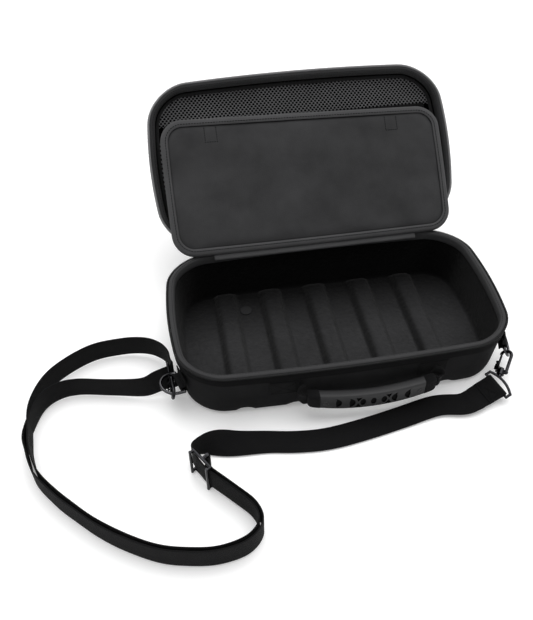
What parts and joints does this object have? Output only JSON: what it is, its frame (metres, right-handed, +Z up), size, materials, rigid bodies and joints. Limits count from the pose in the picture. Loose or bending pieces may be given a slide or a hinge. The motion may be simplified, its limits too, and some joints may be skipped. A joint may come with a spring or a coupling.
{
  "type": "pedalboard carry case",
  "caption": "Zippered hard-shell case with a ribbed velour tray for effect pedals, a hinged lid with mesh pocket and divider flap, a moulded grip and a clip-on shoulder strap.",
  "frame": {"origin": "on the ground under the middle of the tray", "axes": "+X along the case to the right as seen from the grip side, +Y from the grip to the hinge, +Z up; the lid rests open"},
  "size_m": [0.4915, 0.4874, 0.1918],
  "materials": {
    "shell_fabric": "fine woven nylon over moulded foam",
    "velour": "short-pile velour",
    "trim_tape": "matte woven binding",
    "mesh": "knitted mesh",
    "webbing": "flat woven polyester webbing",
    "zipper_teeth": "moulded coil",
    "moulded_rubber": "soft matte moulding",
    "black_metal": "satin black nickel"
  },
  "bodies": {
    "case_base": {"base_shell": "shell_fabric", "base_lining": "velour", "base_binding": "trim_tape", "base_zipper_tape": "shell_fabric", "base_zipper_coil": "zipper_teeth", "cable_port_plug": "moulded_rubber", "ring_tab_left": "webbing", "ring_tab_right": "webbing", "handle_patches": "webbing", "hinge_spine": "shell_fabric", "zipper_slider_left": "black_metal", "zipper_slider_right": "black_metal"},
    "zipper_pull_left": {"zipper_pull_left": "black_metal"},
    "zipper_pull_right": {"zipper_pull_right": "black_metal"},
    "lid": {"lid_shell": "shell_fabric", "lid_lining": "velour", "lid_binding": "trim_tape", "lid_zipper_tape": "shell_fabric", "lid_zipper_coil": "zipper_teeth", "pocket_mesh_upper": "mesh", "pocket_mesh_lower": "mesh", "pocket_binding": "trim_tape", "pocket_zipper_tape": "shell_fabric", "pocket_zipper_coil": "zipper_teeth"},
    "pocket_slider": {"pocket_zipper_slider": "black_metal"},
    "pocket_pull": {"pocket_zipper_pull": "black_metal"},
    "flap_strip": {"flap_hinge_strip": "trim_tape"},
    "flap": {"flap_board": "velour", "flap_binding": "trim_tape", "flap_tabs": "webbing"},
    "handle": {"handle_grip": "moulded_rubber", "handle_webbing": "webbing", "handle_rivets": "black_metal"},
    "ring_left": {"d_ring_left": "black_metal"},
    "ring_right": {"d_ring_right": "black_metal"},
    "strap": {"strap_webbing": "webbing", "strap_end_fold": "webbing", "hook_eye_left": "black_metal", "hook_eye_right": "black_metal"},
    "slider": {"strap_slider": "black_metal", "strap_slider_loop": "webbing"},
    "hook_left": {"hook_body_left": "black_metal", "hook_pin_left": "black_metal", "hook_spring_left": "black_metal"},
    "hook_right": {"hook_body_right": "black_metal", "hook_pin_right": "black_metal", "hook_spring_right": "black_metal"},
    "gate_left": {"hook_gate_left": "black_metal"},
    "gate_right": {"hook_gate_right": "black_metal"}
  },
  "joints": [
    {"name": "lid_hinge", "type": "hinge", "parent": "case_base", "child": "lid", "pos_m": [0, 0.0955, 0.06], "axis": [-1, 0, 0], "range_deg": [-136, 0]},
    {"name": "flap_strip_hinge", "type": "hinge", "parent": "case_base", "child": "flap_strip", "pos_m": [0, 0.08062, 0.05814], "axis": [-1, 0, 0], "range_deg": [-136, 0]},
    {"name": "flap_fold", "type": "hinge", "parent": "flap_strip", "child": "flap", "pos_m": [0, 0.08062, 0.05814], "axis": [1, 0, 0], "range_deg": [0, 136]},
    {"name": "zipper_pull_left_swing", "type": "hinge", "parent": "case_base", "child": "zipper_pull_left", "pos_m": [-0.1095, 0.0979, 0.057], "axis": [0, 1, 0], "range_deg": [-45, 45]},
    {"name": "zipper_pull_right_swing", "type": "hinge", "parent": "case_base", "child": "zipper_pull_right", "pos_m": [0.1095, 0.0979, 0.057], "axis": [0, 1, 0], "range_deg": [-45, 45]},
    {"name": "pocket_zipper_run", "type": "slide", "parent": "lid", "child": "pocket_slider", "axis": [1, 0, 0], "range_m": [-0.28, 0]},
    {"name": "pocket_pull_swing", "type": "hinge", "parent": "pocket_slider", "child": "pocket_pull", "pos_m": [0.14055, 0.19793, 0.14683], "axis": [0, -0.6947, 0.7193], "range_deg": [-45, 45]},
    {"name": "handle_swing", "type": "hinge", "parent": "case_base", "child": "handle", "pos_m": [0.015, -0.0955, 0.037], "axis": [-1, 0, 0], "range_deg": [-20, 85]},
    {"name": "ring_left_swing", "type": "hinge", "parent": "case_base", "child": "ring_left", "pos_m": [-0.16558, -0.06126, 0.03], "axis": [-0.2924, 0.9563, 0], "range_deg": [-8, 2.5]},
    {"name": "ring_right_swing", "type": "hinge", "parent": "case_base", "child": "ring_right", "pos_m": [0.16558, -0.06126, 0.03], "axis": [-0.2924, -0.9563, 0], "range_deg": [-8, 3]},
    {"name": "strap_lift", "type": "slide", "parent": "case_base", "child": "strap", "axis": [0, 0, 1], "range_m": [0, 0.0015]},
    {"name": "strap_adjust", "type": "slide", "parent": "strap", "child": "slider", "axis": [0.5291, -0.8486, 0], "range_m": [-0.002, 0.002]},
    {"name": "hook_left_swivel", "type": "hinge", "parent": "strap", "child": "hook_left", "pos_m": [-0.17429, -0.05549, 0.02437], "axis": [-0.0711, 0.9348, -0.348], "range_deg": [-15, 4]},
    {"name": "hook_right_swivel", "type": "hinge", "parent": "strap", "child": "hook_right", "pos_m": [0.15375, -0.09154, 0.01564], "axis": [-0.5514, -0.776, -0.3063], "range_deg": [-15, 15]},
    {"name": "gate_left_open", "type": "hinge", "parent": "hook_left", "child": "gate_left", "pos_m": [-0.17475, -0.06273, 0.02226], "axis": [-0.9785, 0.0024, 0.2064], "range_deg": [0, 22]},
    {"name": "gate_right_open", "type": "hinge", "parent": "hook_right", "child": "gate_right", "pos_m": [0.15388, -0.08398, 0.01585], "axis": [0.4671, 0.0171, -0.8841], "range_deg": [0, 22]}
  ],
  "couplings": [
    {"joint": "flap_strip_hinge", "follows": "lid_hinge", "ratio": 1}
  ]
}
